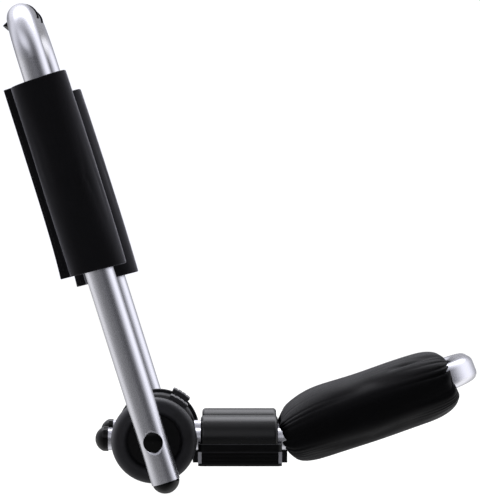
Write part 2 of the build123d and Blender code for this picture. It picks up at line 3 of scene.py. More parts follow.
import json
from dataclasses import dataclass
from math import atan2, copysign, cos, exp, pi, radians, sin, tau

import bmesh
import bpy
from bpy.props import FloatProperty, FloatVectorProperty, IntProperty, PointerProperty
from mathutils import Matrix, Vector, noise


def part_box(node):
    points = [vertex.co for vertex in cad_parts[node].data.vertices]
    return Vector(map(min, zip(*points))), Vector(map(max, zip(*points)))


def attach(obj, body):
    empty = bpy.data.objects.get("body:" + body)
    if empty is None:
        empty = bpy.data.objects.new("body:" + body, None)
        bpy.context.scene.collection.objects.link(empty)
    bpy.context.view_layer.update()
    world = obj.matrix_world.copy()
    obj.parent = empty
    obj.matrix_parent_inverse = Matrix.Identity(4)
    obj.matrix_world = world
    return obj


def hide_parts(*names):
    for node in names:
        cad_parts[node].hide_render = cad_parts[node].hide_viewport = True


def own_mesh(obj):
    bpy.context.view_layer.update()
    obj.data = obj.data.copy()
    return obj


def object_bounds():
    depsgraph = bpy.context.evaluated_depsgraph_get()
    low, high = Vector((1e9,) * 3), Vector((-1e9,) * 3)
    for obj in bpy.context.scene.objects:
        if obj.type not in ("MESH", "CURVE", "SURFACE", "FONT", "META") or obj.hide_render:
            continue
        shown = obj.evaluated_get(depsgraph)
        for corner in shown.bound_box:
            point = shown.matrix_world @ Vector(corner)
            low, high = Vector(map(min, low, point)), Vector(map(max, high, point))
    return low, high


bl_info = {
    "name": "J-style kayak carrier",
    "version": (1, 0, 0),
    "blender": (4, 5, 0),
    "location": "View3D > Sidebar > Carrier",
    "description": "Dresses a folding J-style kayak carrier and sets it on a pale studio stage",
    "category": "Add Mesh",
}

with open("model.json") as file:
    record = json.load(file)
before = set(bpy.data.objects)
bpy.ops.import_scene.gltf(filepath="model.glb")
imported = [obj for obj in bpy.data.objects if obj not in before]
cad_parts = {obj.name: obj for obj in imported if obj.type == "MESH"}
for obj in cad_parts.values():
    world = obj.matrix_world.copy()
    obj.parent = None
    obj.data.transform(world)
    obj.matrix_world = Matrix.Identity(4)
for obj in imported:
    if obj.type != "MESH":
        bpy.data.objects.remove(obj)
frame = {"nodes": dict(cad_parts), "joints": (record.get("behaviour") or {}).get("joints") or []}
CAD_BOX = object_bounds()
MM = 0.001
CLOTH_MAP = "cloth"
THREAD_PITCH = 0.5 * MM
WAVE_PHASE = 20  # radians that Blender's wave texture runs through in one unit


def joint_named(name):
    return next(joint for joint in frame["joints"] if joint["name"] == name)


# Directions along and across a leg and the cushion, as the CAD has them
UPRIGHT_LEAN = radians(17.55)
CRADLE_RISE = radians(21.3)
CUSHION_RISE = radians(18.4)
LEG_UP = Vector((-sin(UPRIGHT_LEAN), 0, cos(UPRIGHT_LEAN)))
LEG_FRONT = Vector((cos(UPRIGHT_LEAN), 0, sin(UPRIGHT_LEAN)))
CUSHION_OUT = Vector((cos(CUSHION_RISE), 0, sin(CUSHION_RISE)))
CUSHION_UP = Vector((-sin(CUSHION_RISE), 0, cos(CUSHION_RISE)))
ACROSS = Vector((0, 1, 0))
PIVOT = Vector(joint_named("upright_fold")["pos_m"])

# Where the cradle arms turn up, and the tubes' sizes
CRADLE_CORNER = Vector((51 * MM, 0, PIVOT.z))
ARM_OFFSET = 58 * MM
ARM_RADIUS = 11.1 * MM
TIP_OFFSET = 52 * MM
TIP_HALF_WIDTH = 12.5 * MM
TIP_HALF_HEIGHT = 13 * MM
LEG_OFFSET = 100 * MM


def colour(name, description, value):
    return FloatVectorProperty(name=name, description=description, subtype="COLOR", size=3,
                               min=0.0, max=1.0, default=value)


def measure(name, description, millimetres, least=0.0):
    return FloatProperty(name=name, description=description, subtype="DISTANCE", unit="LENGTH",
                         min=least * MM, default=millimetres * MM)


class CarrierColours(bpy.types.PropertyGroup):
    """Colours of the carrier's finishes"""
    aluminium: colour("Aluminium", "Satin anodised tube", (0.64, 0.64, 0.69))
    steel: colour("Steel", "Zinc-plated fasteners and springs", (0.55, 0.55, 0.54))
    moulded: colour("Moulded plastic", "Dials, hubs and clamp block", (0.0155, 0.0155, 0.0172))
    gloss: colour("Gloss plastic", "Tube plugs and pivot caps", (0.002, 0.002, 0.0022))
    rubber: colour("Rubber", "Seat pad", (0.011, 0.011, 0.0115))
    acetal: colour("Acetal", "Hinge bushes", (0.62, 0.6, 0.55))
    pad_nylon: colour("Pad nylon", "Cloth of the sleeve pads", (0.0165, 0.0161, 0.019))
    cushion_nylon: colour("Cushion nylon", "Cloth of the cushion", (0.0064, 0.0063, 0.0072))
    thread: colour("Thread", "Stitching", (0.008, 0.008, 0.009))
    stage: colour("Stage", "Floor", (0.9, 0.9, 0.9))


class PadSizes(bpy.types.PropertyGroup):
    """Sleeve pads on the legs of the upright"""
    front: measure("Front", "Leg axis to the edge towards the cradle", 29)
    back: measure("Back", "Leg axis to the root of the seam", 29.5)
    half_depth: measure("Half depth", "Leg axis to a flat face", 20.5)
    seam_reach: measure("Seam reach", "Leg axis to the edge of the seam", 36)
    seam_thickness: measure("Seam thickness", "Two layers of cloth and tape", 2.6)
    flare: measure("Flare", "How much further the seam reaches at its lower end", 2.5)
    mouth: measure("Mouth", "Radius of the sleeve's opening round the leg", 15.2)
    stitch_pitch: measure("Stitch pitch", "Stitch to stitch along the seam", 4.6)
    stitch_length: measure("Stitch length", "Length of one stitch", 3.1)
    swell: measure("Swell", "Most that the cloth may move as it fills", 4)
    lower_skew: FloatProperty(name="Lower skew", description="Slope of the lower end's cut",
                              default=-0.058)
    upper_skew: FloatProperty(name="Upper skew", description="Slope of the upper end's cut",
                              default=0.02)


class CushionSizes(bpy.types.PropertyGroup):
    """Cushion round both cradle arms"""
    half_width: measure("Half width", "Mid plane to a side", 76)
    above: measure("Above", "Arm axis to the top", 38)
    below: measure("Below", "Arm axis to the underside", 30.5)
    start: measure("Start", "Cradle bend to the near end", -5, least=-50)
    end: measure("End", "Cradle bend to the far end", 173)
    clearance: measure("Clearance", "Cloth to the arm in a mouth", 1.1)
    lips: measure("Lips", "Half gap of a mouth between the arms", 0.8)
    swell: measure("Swell", "Most that the cloth may move as it fills", 3.5)
    folds: IntProperty(name="Folds", description="Gathering folds round an end", default=30, min=8)
    fold_depth: measure("Fold depth", "Depth of a gathering fold at the rim", 3.0)
    crease_depth: measure("Crease depth", "Depth of the slack fold along the top edge", 3.6)


class SpringSizes(bpy.types.PropertyGroup):
    """Coil springs behind the release buttons"""
    seat: measure("Seat", "Pivot axis to the spring's foot", 21)
    length: measure("Length", "Foot to head at rest", 8)
    coil: measure("Coil", "Spring's axis to the middle of the wire", 3)
    wire: measure("Wire", "Radius of the wire", 0.5)
    turns: FloatProperty(name="Turns", description="Turns of the coil", default=2.5, min=1.0)


class StageSizes(bpy.types.PropertyGroup):
    """Camera and floor"""
    distance: measure("Distance", "Camera to the mid plane", 2900, least=500)
    frame_height: measure("Frame height", "Picture's height at the mid plane", 507.6, least=100)
    eye_shift: measure("Eye shift", "Camera's place along the crossbar", -1, least=-100)
    eye_height: measure("Eye height", "Camera height over the seat", 231.4)
    aim_height: measure("Aim height", "Height of the picture's middle", 213.1)
    floor_drop: measure("Floor drop", "Gap under the lowest piece", 2)


class CarrierSettings(bpy.types.PropertyGroup):
    """Everything a user may change"""
    colours: PointerProperty(type=CarrierColours)
    pads: PointerProperty(type=PadSizes)
    cushion: PointerProperty(type=CushionSizes)
    springs: PointerProperty(type=SpringSizes)
    stage: PointerProperty(type=StageSizes)


def tinted(base, factor):
    """A colour made lighter or darker."""
    return [min(1.0, factor * channel) for channel in base]


class Tree:
    """Adds nodes to one node tree."""

    def __init__(self, tree):
        self.tree = tree

    def add(self, kind, **settings):
        node = self.tree.nodes.new(kind)
        for name, value in settings.items():
            setattr(node, name, value)
        return node

    def link(self, source, target):
        self.tree.links.new(source, target)

    def feed(self, socket, value):
        """Set a socket to a number, or link it."""
        if isinstance(value, (int, float)):
            socket.default_value = value
        else:
            self.link(value, socket)

    def math(self, operation, first, second):
        node = self.add("ShaderNodeMath", operation=operation)
        self.feed(node.inputs[0], first)
        self.feed(node.inputs[1], second)
        return node.outputs["Value"]

    def times(self, first, second):
        return self.math("MULTIPLY", first, second)

    def length(self, vector):
        node = self.add("ShaderNodeVectorMath", operation="LENGTH")
        self.link(vector, node.inputs[0])
        return node.outputs["Value"]

    def mix(self, factor, first, second):
        node = self.add("ShaderNodeMix")
        for name, source in (("Factor", factor), ("A", first), ("B", second)):
            self.link(source, node.inputs[name])
        return node.outputs["Result"]

    def ramp(self, value, between, gives):
        """A smooth step between two values, from the first number it gives to the second."""
        node = self.add("ShaderNodeMapRange", interpolation_type="SMOOTHSTEP")
        names = ("From Min", "From Max", "To Min", "To Max")
        for name, number in zip(names, (*between, *gives)):
            node.inputs[name].default_value = number
        self.link(value, node.inputs["Value"])
        return node.outputs["Result"]

    def split(self, vector):
        node = self.add("ShaderNodeSeparateXYZ")
        self.link(vector, node.inputs["Vector"])
        return node.outputs


class Finish(Tree):
    """A material in the making: its shader, its base colour and its object coordinates."""

    def __init__(self, name, base, roughness, metallic=0.0, specular=0.5):
        self.material = bpy.data.materials.new(name)
        self.material.use_nodes = True
        super().__init__(self.material.node_tree)
        self.shader = self.tree.nodes["Principled BSDF"]
        self.base = base
        self.place = self.add("ShaderNodeTexCoord").outputs["Object"]
        self.set("Base Color", (*base, 1))
        self.set("Roughness", roughness)
        self.set("Metallic", metallic)
        self.set("Specular IOR Level", specular)

    def set(self, name, value):
        self.shader.inputs[name].default_value = value

    def turned(self, vector, rotation=(0, 0, 0), scale=(1, 1, 1)):
        mapping = self.add("ShaderNodeMapping")
        mapping.inputs["Rotation"].default_value = rotation
        mapping.inputs["Scale"].default_value = scale
        self.link(vector, mapping.inputs["Vector"])
        return mapping.outputs["Vector"]

    def noise(self, vector, scale, detail=3.0, roughness=0.5):
        node = self.add("ShaderNodeTexNoise")
        node.inputs["Scale"].default_value = scale
        node.inputs["Detail"].default_value = detail
        node.inputs["Roughness"].default_value = roughness
        self.link(vector, node.inputs["Vector"])
        return node.outputs["Fac"]

    def bands(self, vector, direction, pitch):
        """Smooth ridges across one direction, one to a pitch."""
        node = self.add("ShaderNodeTexWave", wave_type="BANDS", bands_direction=direction,
                        wave_profile="SIN")
        node.inputs["Scale"].default_value = tau / (WAVE_PHASE * pitch)
        node.inputs["Distortion"].default_value = 0.0
        self.link(vector, node.inputs["Vector"])
        return node.outputs["Fac"]

    def blend(self, first, share, second):
        """Weighted sum of two patterns."""
        return self.math("ADD", self.times(first, share), self.times(second, 1 - share))

    def shade(self, factor, dark, light):
        """Let the base colour wander between two multiples of itself."""
        mix = self.add("ShaderNodeMix", data_type="RGBA")
        mix.inputs["A"].default_value = (*tinted(self.base, dark), 1)
        mix.inputs["B"].default_value = (*tinted(self.base, light), 1)
        self.link(factor, mix.inputs["Factor"])
        self.link(mix.outputs["Result"], self.shader.inputs["Base Color"])

    def rough(self, factor, low, high):
        roughness = self.ramp(factor, (0.0, 1.0), (low, high))
        self.link(roughness, self.shader.inputs["Roughness"])

    def bump(self, height, depth):
        node = self.add("ShaderNodeBump")
        node.inputs["Distance"].default_value = depth
        self.link(height, node.inputs["Height"])
        self.link(node.outputs["Normal"], self.shader.inputs["Normal"])

    def grain(self, scale, depth):
        """Fine bumps, as from a spark-eroded mould."""
        self.bump(self.noise(self.place, scale, detail=2.0, roughness=0.6), depth)


def drawn_aluminium(name, base, along):
    """Satin anodised tube, with fine drawing marks that run along it."""
    look = Finish(name, base, roughness=0.25, metallic=1.0)
    streaks = look.turned(look.place, rotation=(0, along, 0), scale=(1400, 1400, 9))
    marks = look.noise(streaks, 1.0, detail=2.0)
    handling = look.noise(look.place, 26.0, detail=5.0)
    look.shade(handling, dark=0.96, light=1.03)
    look.rough(look.blend(marks, 0.6, handling), low=0.24, high=0.3)
    look.bump(marks, depth=0.001 * MM)
    return look.material


def milled_aluminium(name, base):
    """Plain plate with saw marks."""
    look = Finish(name, base, roughness=0.34, metallic=1.0)
    marks = look.noise(look.turned(look.place, scale=(90, 5, 2600)), 1.0, detail=2.0)
    look.shade(marks, dark=0.8, light=0.95)
    look.rough(marks, low=0.28, high=0.46)
    look.bump(marks, depth=0.01 * MM)
    return look.material


def plated_steel(name, base):
    """Zinc plate."""
    look = Finish(name, base, roughness=0.33, metallic=1.0)
    cloud = look.noise(look.place, 420.0, detail=4.0)
    look.shade(cloud, dark=0.82, light=1.05)
    look.rough(cloud, low=0.26, high=0.44)
    return look.material


def moulded_plastic(name, base, roughness, grain_size, grain_depth, specular):
    """Moulded black plastic with a spark-eroded grain and cloudy handling marks."""
    look = Finish(name, base, roughness, specular=specular)
    cloud = look.noise(look.place, 45.0, detail=4.0)
    look.shade(cloud, dark=0.8, light=1.4)
    look.rough(cloud, low=roughness - 0.06, high=roughness + 0.08)
    look.grain(1 / grain_size, grain_depth)
    return look.material


def ribbed_base(name, base, painted_highlight_edges):
    """Deep black plastic, with painted highlights: pale lines along level edges, given as heights
    and paleness.
    """
    look = Finish(name, base, roughness=0.3, specular=0.12)
    height = look.split(look.place)["Z"]
    cloud = look.noise(look.turned(look.place, scale=(60, 60, 400)), 1.0, detail=4.0)
    tone_and_painted_highlights = look.times(cloud, 0.08)
    # Each edge gets a painted highlight, a pale band at its height; the cloud adds random tone.
    for edge, share in painted_highlight_edges:
        below = look.ramp(height, (edge - 1.0 * MM, edge - 0.4 * MM), (0.0, share))
        above = look.ramp(height, (edge + 0.3 * MM, edge + 0.6 * MM), (1.0, 0.0))
        tone_and_painted_highlights = look.math("ADD", tone_and_painted_highlights, look.times(below, above))
    look.shade(tone_and_painted_highlights, dark=0.5, light=24.0)
    look.rough(cloud, low=0.24, high=0.38)
    look.grain(2200.0, depth=0.01 * MM)
    return look.material


def painted_light_dial(name, base):
    """Dial plastic with painted light: painted shade darkens the dish, and the rim is painted a
    lighter grey, most to the upper left.
    """
    look = Finish(name, base, roughness=0.45, specular=0.16)
    centred = look.add("ShaderNodeVectorMath", operation="SUBTRACT")
    look.link(look.place, centred.inputs[0])
    centred.inputs[1].default_value = PIVOT
    radius = look.length(look.turned(centred.outputs[0], scale=(1, 0, 1)))
    cloud = look.noise(look.place, 45.0, detail=4.0)
    # Painted light on the rim and painted shade in the dish; the painted light falls off again at
    # the very outer edge.
    rim = look.math("ADD", look.ramp(radius, (25 * MM, 32 * MM), (0.0, 0.75)),
                    look.ramp(radius, (41.4 * MM, 42.6 * MM), (0.0, -0.3)))
    from_pivot = look.split(centred.outputs[0])
    # Painted light from the upper left: the rim is painted lighter towards the upper left, where
    # the light falls.
    upper_left = look.math("SUBTRACT", from_pivot["Z"], from_pivot["X"])
    painted_upper_left_light = look.ramp(upper_left, (-50 * MM, 50 * MM), (0.75, 1.5))
    # Random tone from the cloud, times the painted light.
    tone_and_painted_light = look.times(painted_upper_left_light, look.ramp(cloud, (0.2, 0.7), (0.8, 1.25)))
    look.shade(look.times(rim, tone_and_painted_light), dark=0.4, light=3.8)
    look.rough(cloud, low=0.4, high=0.52)
    look.grain(2000.0, depth=0.012 * MM)
    return look.material


def gloss_plastic(name, base):
    """Polished black plug with faint flow marks."""
    look = Finish(name, base, roughness=0.1, specular=0.2)
    flow = look.noise(look.place, 160.0)
    look.shade(flow, dark=0.7, light=1.4)
    look.rough(flow, low=0.05, high=0.14)
    look.bump(flow, depth=0.004 * MM)
    return look.material


def soft_rubber(name, base):
    """Dull rubber with a bloom."""
    look = Finish(name, base, roughness=0.72, specular=0.3)
    bloom = look.noise(look.place, 70.0, detail=6.0)
    look.shade(bloom, dark=0.8, light=1.8)
    look.rough(bloom, low=0.62, high=0.84)
    look.bump(look.noise(look.place, 1900.0, detail=2.0), depth=0.02 * MM)
    return look.material


def acetal(name, base):
    """Natural bearing plastic."""
    look = Finish(name, base, roughness=0.4)
    cloud = look.noise(look.place, 60.0)
    look.shade(cloud, dark=0.92, light=1.0)
    look.rough(cloud, low=0.34, high=0.46)
    return look.material


def woven_nylon(name, base, roughness, specular, sheen, cut):
    """Black plain-weave nylon. cut is the size of the cloth, round the piece and along it."""
    look = Finish(name, base, roughness, specular=specular)
    unit_cloth = look.add("ShaderNodeUVMap", uv_map=CLOTH_MAP).outputs["UV"]
    cloth = look.turned(unit_cloth, scale=(*cut, 1))
    warp = look.bands(cloth, "X", 2 * THREAD_PITCH)
    weft = look.bands(cloth, "Y", 2 * THREAD_PITCH)
    over = look.times(warp, weft)
    under = look.times(look.math("SUBTRACT", 1.0, warp), look.math("SUBTRACT", 1.0, weft))
    weave = look.math("ADD", over, under)
    slubs = look.noise(look.turned(cloth, scale=(900, 60, 1)), 1.0, detail=2.0)
    wear = look.noise(look.place, 38.0, detail=5.0)
    pattern = look.blend(weave, 0.4, look.blend(slubs, 0.4, wear))
    look.shade(pattern, dark=0.45, light=1.7)
    look.rough(wear, low=roughness - 0.08, high=roughness + 0.08)
    look.bump(look.blend(weave, 0.8, slubs), depth=0.06 * MM)
    look.set("Sheen Weight", sheen)
    look.set("Sheen Roughness", 0.3)
    look.set("Sheen Tint", (0.74, 0.74, 0.86, 1))
    return look.material


def twisted_thread(name, base):
    """Sewing thread."""
    look = Finish(name, base, roughness=0.55, specular=0.3)
    slanted = look.turned(look.place, rotation=(0, radians(40), 0))
    twist = look.bands(slanted, "DIAGONAL", 0.35 * MM)
    look.shade(twist, dark=0.6, light=1.3)
    look.bump(twist, depth=0.03 * MM)
    return look.material


def dress(prefixes, material):
    """Give a finish to every CAD node whose name starts with one of the prefixes."""
    for name, node in frame["nodes"].items():
        if name.startswith(prefixes):
            for slot in node.material_slots:
                slot.material = material


def piece_from(bm, name, material):
    """A finished bmesh becomes an object at the origin."""
    bmesh.ops.recalc_face_normals(bm, faces=bm.faces)
    mesh = bpy.data.meshes.new(name)
    bm.to_mesh(mesh)
    bm.free()
    mesh.materials.append(material)
    mesh.shade_smooth()
    piece = bpy.data.objects.new(name, mesh)
    bpy.context.scene.collection.objects.link(piece)
    return piece


def edges_along(bm, axis):
    """Edges of a unit shape that run along one of its axes."""
    return [edge for edge in bm.edges
            if abs(edge.verts[0].co[axis] - edge.verts[1].co[axis]) > 0.5]


def unit_sleeve(segments, rows):
    """An open tube of radius 1 with z from 0 to 1, and a cloth map of the same unit size."""
    bm = bmesh.new()
    bmesh.ops.create_cone(bm, cap_ends=False, segments=segments, radius1=1, radius2=1, depth=1,
                          matrix=Matrix.Translation((0, 0, 0.5)))
    bmesh.ops.subdivide_edges(bm, edges=edges_along(bm, 2), cuts=rows - 1)
    cloth = bm.loops.layers.uv.new(CLOTH_MAP)
    for face in bm.faces:
        middle = face.calc_center_median()
        turned_to = atan2(middle.y, middle.x)
        for loop in face.loops:
            spot = loop.vert.co
            swing = atan2(spot.y, spot.x) - turned_to
            swing -= tau * round(swing / tau)
            loop[cloth].uv = ((turned_to + swing) / tau, spot.z)
    return bm


def superellipse(angle, half_x, half_y, power):
    """Point of a rounded rectangle at an angle."""
    x = copysign(abs(cos(angle)) ** (2 / power), cos(angle))
    y = copysign(abs(sin(angle)) ** (2 / power), sin(angle))
    return half_x * x, half_y * y


def slope_of(angle):
    """An angle over the level, alike on both sides of the mid plane."""
    return atan2(sin(angle), abs(cos(angle)))


def ring_noise(angle, rate, level):
    """Smooth noise round a ring. rate is how quickly it varies, and level tells rings apart."""
    return noise.noise(Vector((cos(angle) * rate, sin(angle) * rate, level)))


def clamped(value):
    return max(0.0, min(1.0, value))


def arch(value, middle, spread):
    """1 in the middle, and 0 from the spread outwards."""
    return max(0.0, 1 - ((value - middle) / spread) ** 2)


def bell(value, middle, spread):
    """1 in the middle, with a soft tail on each side."""
    return exp(-((value - middle) / spread) ** 2)


@dataclass
class Turn:
    """Where one row of a skin lies: along the piece, and how far in towards the mouth."""
    along: float
    laid_out: float
    closed: float
    inset: float
    rounding: float

    def inward(self, skin, mouth):
        """The point this far from the skin towards the mouth."""
        way = mouth - skin
        distance = self.inset + self.closed * max(0.0, way.length - self.rounding)
        return skin + way * (distance / way.length)


@dataclass
class ClosedEnd:
    """How the rows of a skin turn over a rounded rim and in to a mouth, at both ends alike."""
    face_rows: int
    round_rows: int
    rounding: float
    tuck: float

    def at(self, row, rows, start, end):
        edge = self.face_rows + self.round_rows
        step = min(row, rows - row)
        if step >= edge:
            flank = end - start - 2 * self.rounding
            along = start + self.rounding + flank * (row - edge) / (rows - 2 * edge)
            return Turn(along, along, 0.0, 0.0, self.rounding)
        if step >= self.face_rows:
            swing = (step - self.face_rows) / self.round_rows * pi / 2
            setback = self.rounding * (1 - cos(swing))
            closed, inset = 0.0, self.rounding * (1 - sin(swing))
            spare = self.rounding * (pi / 2 - swing)
        else:
            closed = 1 - step / self.face_rows
            setback, inset = self.tuck * closed ** 2, self.rounding
            spare = self.rounding * pi / 2 + closed * 2 * self.rounding
        along, laid_out = start + setback, start + self.rounding - spare
        if row >= rows / 2:
            along, laid_out = end - setback, end - self.rounding + spare
        return Turn(along, laid_out, closed, inset, self.rounding)


def fill_skin(piece, loose, pressure, frames, cap, give, rest=None):
    """Swell a cloth skin from inside and keep the result.

    loose gives, for each vertex, how free it is to move: 0 is pinned. cap is the most that a
    point moves, and give the most that it sinks into the foam. rest holds the places that the
    cloth was cut to, where the skin starts out gathered.
    """
    group = piece.vertex_groups.new(name="held")
    for index, free in enumerate(loose):
        group.add([index], 1.0 - free, "REPLACE")
    if rest is not None:
        piece.shape_key_add(name="gathered")
        cut = piece.shape_key_add(name="cut")
        for point, place in zip(cut.data, rest):
            point.co = place
    cloth = piece.modifiers.new("fill", "CLOTH")
    settings = cloth.settings
    settings.quality = 7
    settings.mass = 0.25
    settings.tension_stiffness = settings.compression_stiffness = 18
    settings.shear_stiffness = 6
    settings.bending_stiffness = 0.25
    settings.air_damping = 2.0
    settings.vertex_group_mass = group.name
    settings.use_pressure = True
    settings.uniform_pressure_force = pressure
    settings.effector_weights.gravity = 0.0
    cloth.collision_settings.use_collision = False
    if rest is not None:
        settings.rest_shape_key = cut
    cloth.point_cache.frame_start = 1
    cloth.point_cache.frame_end = frames
    scene = bpy.context.scene
    for number in range(1, frames + 1):
        scene.frame_set(number)
    swollen = piece.evaluated_get(bpy.context.evaluated_depsgraph_get()).to_mesh()
    places = []
    for before, after in zip(piece.data.vertices, swollen.vertices):
        move = after.co - before.co
        sunk = -give - move.dot(before.normal)
        if sunk > 0:
            move += before.normal * sunk
        if move.length > cap:
            move *= cap / move.length
        places.append(before.co + move)
    piece.modifiers.remove(cloth)
    if rest is not None:
        piece.shape_key_clear()
    for vertex, place in zip(piece.data.vertices, places):
        vertex.co = place
    piece.vertex_groups.clear()
    scene.frame_set(1)


def settle(piece, loose, passes):
    """Draw the free points of a skin towards their neighbours, which takes out stray dents."""
    bm = bmesh.new()
    bm.from_mesh(piece.data)
    free = [vertex for vertex in bm.verts if loose[vertex.index] > 0]
    for _ in range(passes):
        bmesh.ops.smooth_vert(bm, verts=free, factor=0.5,
                              use_axis_x=True, use_axis_y=True, use_axis_z=True)
    bm.to_mesh(piece.data)
    bm.free()


def subdivide_once(piece):
    modifier = piece.modifiers.new("round", "SUBSURF")
    modifier.levels = modifier.render_levels = 1


class CARRIER_OT_tubes(bpy.types.Operator):
    """Finish the two bent tubes"""
    bl_idname = "carrier.tubes"
    bl_label = "Tubes"

    def execute(self, context):
        colours = context.scene.carrier.colours
        for node, along in (("upright", UPRIGHT_LEAN), ("cradle", pi / 2 - CRADLE_RISE / 2)):
            dress(f"{node}_loop", drawn_aluminium(f"{node}_aluminium", colours.aluminium, along))
        return {"FINISHED"}


class CARRIER_OT_plugs(bpy.types.Operator):
    """Finish the tube plugs and the pivot caps"""
    bl_idname = "carrier.plugs"
    bl_label = "Plugs and pivot caps"

    def execute(self, context):
        material = gloss_plastic("plug_gloss", context.scene.carrier.colours.gloss)
        dress(("upright_end_cap", "cradle_end_cap", "pivot_cap"), material)
        return {"FINISHED"}


class CARRIER_OT_hinges(bpy.types.Operator):
    """Finish the hinges' dials, hubs, release buttons and bushes, and the strap keeper"""
    bl_idname = "carrier.hinges"
    bl_label = "Hinges"

    plastics = (  # nodes, material, tint, then roughness, grain's size and depth, and specular
        # Tints above 1 are painted light: the hubs and release buttons are lighter copies of the
        # moulded plastic, standing in for light on their top faces.
        ("hinge_hub", "hub_plastic", 1.2, (0.45, 0.5 * MM, 0.012 * MM, 0.16)),
        ("release_button", "button_plastic", 4, (0.36, 0.4 * MM, 0.015 * MM, 0.3)),
        ("strap_keeper", "keeper_plastic", 1, (0.36, 0.4 * MM, 0.015 * MM, 0.16)),
    )

    def execute(self, context):
        colours = context.scene.carrier.colours
        dress("hinge_dial", painted_light_dial("dial_plastic", colours.moulded))
        for nodes, name, tint, surface in self.plastics:
            dress(nodes, moulded_plastic(name, tinted(colours.moulded, tint), *surface))
        dress("dial_bush", acetal("bush_acetal", colours.acetal))
        return {"FINISHED"}


class CARRIER_OT_fasteners(bpy.types.Operator):
    """Finish bolts, washers, nuts and screws"""
    bl_idname = "carrier.fasteners"
    bl_label = "Fasteners"

    def execute(self, context):
        material = plated_steel("zinc_plate", context.scene.carrier.colours.steel)
        dress(("pivot_bolt", "pivot_washer", "pivot_nut", "clamp_screw", "clamp_nut"), material)
        return {"FINISHED"}


class CARRIER_OT_springs(bpy.types.Operator):
    """Coil the springs that the release buttons press"""
    bl_idname = "carrier.springs"
    bl_label = "Button springs"

    steps_per_turn = 28
    sides = 10

    def execute(self, context):
        settings = context.scene.carrier
        sizes = settings.springs
        steel = plated_steel("spring_steel", settings.colours.steel)
        for side, sign in (("near", -1), ("far", 1)):
            press = joint_named(f"{side}_release")
            out = -Vector(press["axis"])
            foot = PIVOT + ACROSS * sign * ARM_OFFSET + out * sizes.seat
            piece = self.coil(sizes, f"button_coil_{side}", foot, out, steel)
            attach(piece, "base")
            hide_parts(f"button_spring_{side}")
            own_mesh(piece)
        return {"FINISHED"}

    def coil(self, sizes, name, foot, out, steel):
        """Round wire spun along a helix, with flat ends."""
        bm = bmesh.new()
        beside = out.cross(ACROSS)
        wire_end = Matrix.Translation(foot + out * sizes.wire + beside * sizes.coil)
        facing = Matrix((-out, beside, ACROSS)).transposed().to_4x4()
        bmesh.ops.create_circle(bm, cap_ends=True, segments=self.sides, radius=sizes.wire,
                                matrix=wire_end @ facing)
        steps = round(sizes.turns * self.steps_per_turn)
        rise = (sizes.length - 2 * sizes.wire) / steps
        bmesh.ops.spin(bm, geom=[*bm.verts, *bm.edges, *bm.faces], cent=foot, axis=out,
                       angle=-tau * sizes.turns, dvec=out * rise, steps=steps)
        return piece_from(bm, name, steel)


class CARRIER_OT_clamp(bpy.types.Operator):
    """Finish the clamp block, its end plates and the rubber seat"""
    bl_idname = "carrier.clamp"
    bl_label = "Clamp block"

    def execute(self, context):
        colours = context.scene.carrier.colours
        upper = moulded_plastic("clamp_plastic", tinted(colours.moulded, 0.4), roughness=0.24,
                                grain_size=0.45 * MM, grain_depth=0.01 * MM, specular=0.36)
        parting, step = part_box("clamp_base")[1].z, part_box("end_plate_left")[1].z
        # The lower half gets painted highlight lines at the parting and at the end plates' top
        # edge.
        lower = ribbed_base("base_plastic", tinted(colours.moulded, 0.3),
                            painted_highlight_edges=((parting, 0.9), (step, 0.25)))
        dress("clamp_top", upper)
        dress("clamp_base", lower)
        dress("end_plate", milled_aluminium("plate_aluminium", colours.aluminium))
        dress("seat_pad", soft_rubber("seat_rubber", colours.rubber))
        return {"FINISHED"}


class Pad:
    """Where one sleeve pad lies, read from its CAD block's box."""

    def __init__(self, sizes, node, offset, seed):
        self.sizes, self.node, self.offset, self.seed = sizes, node, offset, seed
        low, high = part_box(node)
        right = high.x - PIVOT.x - sizes.front * LEG_FRONT.x
        bottom = low.z - PIVOT.z + sizes.seam_reach * LEG_FRONT.z
        self.start = right * LEG_UP.x + bottom * LEG_UP.z
        self.shift = right * LEG_FRONT.x + bottom * LEG_FRONT.z
        self.end = (high.z - PIVOT.z - (sizes.front + self.shift) * LEG_FRONT.z) / LEG_UP.z

    def place(self, x, y, along):
        """A point by its distance from the leg's axis and along it, the ends cut at a slope."""
        share = (along - self.start) / (self.end - self.start)
        skew = self.sizes.lower_skew * (1 - share) ** 3 + self.sizes.upper_skew * share ** 3
        return PIVOT + LEG_UP * (along + skew * x) + LEG_FRONT * x + ACROSS * (self.offset + y)


